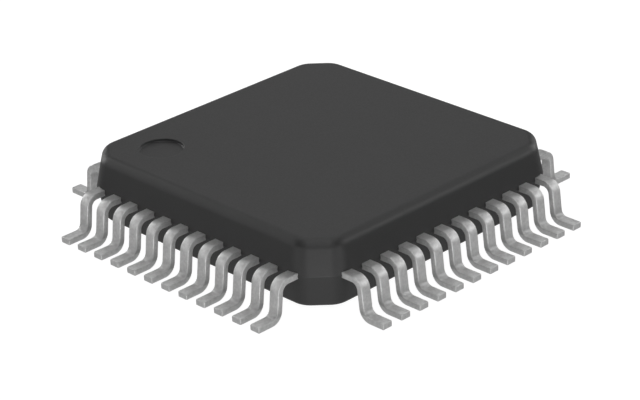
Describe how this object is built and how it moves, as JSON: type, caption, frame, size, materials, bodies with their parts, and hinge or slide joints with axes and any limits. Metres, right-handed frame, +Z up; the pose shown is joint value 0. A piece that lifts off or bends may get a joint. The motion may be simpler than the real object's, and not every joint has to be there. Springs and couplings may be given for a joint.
{
  "type": "quad flat pack chip",
  "caption": "Low-profile square surface-mount chip package: black epoxy moulding with cut corners, a round pin-1 recess and fine-pitch gull-wing leads along every side.",
  "frame": {"origin": "on the seating plane, which is the underside of the lead feet, below the middle of the package", "axes": "+Z up out of the board, +X and +Y square to the sides, with the pin-1 corner at -X +Y; leads count anticlockwise seen from above: 01-12 on -X, 13-24 on -Y, 25-36 on +X, 37-48 on +Y"},
  "size_m": [0.009, 0.009, 0.0015],
  "materials": {
    "epoxy_moulding": "fine matte moulded epoxy, near-black grey",
    "lead_plating": "matte tin plate over copper alloy, satin light grey",
    "frame_copper": "bare rolled copper alloy",
    "silver_glue": "silver-filled die attach glue, matte",
    "silicon": "polished silicon with a passivated circuit face",
    "gold_wire": "drawn gold wire"
  },
  "bodies": {
    "root": {"package_body": "epoxy_moulding", "lead_01": "lead_plating", "lead_02": "lead_plating", "lead_03": "lead_plating", "lead_04": "lead_plating", "lead_05": "lead_plating", "lead_06": "lead_plating", "lead_07": "lead_plating", "lead_08": "lead_plating", "lead_09": "lead_plating", "lead_10": "lead_plating", "lead_11": "lead_plating", "lead_12": "lead_plating", "lead_13": "lead_plating", "lead_14": "lead_plating", "lead_15": "lead_plating", "lead_16": "lead_plating", "lead_17": "lead_plating", "lead_18": "lead_plating", "lead_19": "lead_plating", "lead_20": "lead_plating", "lead_21": "lead_plating", "lead_22": "lead_plating", "lead_23": "lead_plating", "lead_24": "lead_plating", "lead_25": "lead_plating", "lead_26": "lead_plating", "lead_27": "lead_plating", "lead_28": "lead_plating", "lead_29": "lead_plating", "lead_30": "lead_plating", "lead_31": "lead_plating", "lead_32": "lead_plating", "lead_33": "lead_plating", "lead_34": "lead_plating", "lead_35": "lead_plating", "lead_36": "lead_plating", "lead_37": "lead_plating", "lead_38": "lead_plating", "lead_39": "lead_plating", "lead_40": "lead_plating", "lead_41": "lead_plating", "lead_42": "lead_plating", "lead_43": "lead_plating", "lead_44": "lead_plating", "lead_45": "lead_plating", "lead_46": "lead_plating", "lead_47": "lead_plating", "lead_48": "lead_plating", "die_paddle": "frame_copper", "die_attach": "silver_glue", "silicon_die": "silicon", "bond_wires_left": "gold_wire", "bond_wires_front": "gold_wire", "bond_wires_right": "gold_wire", "bond_wires_back": "gold_wire"}
  },
  "joints": []
}
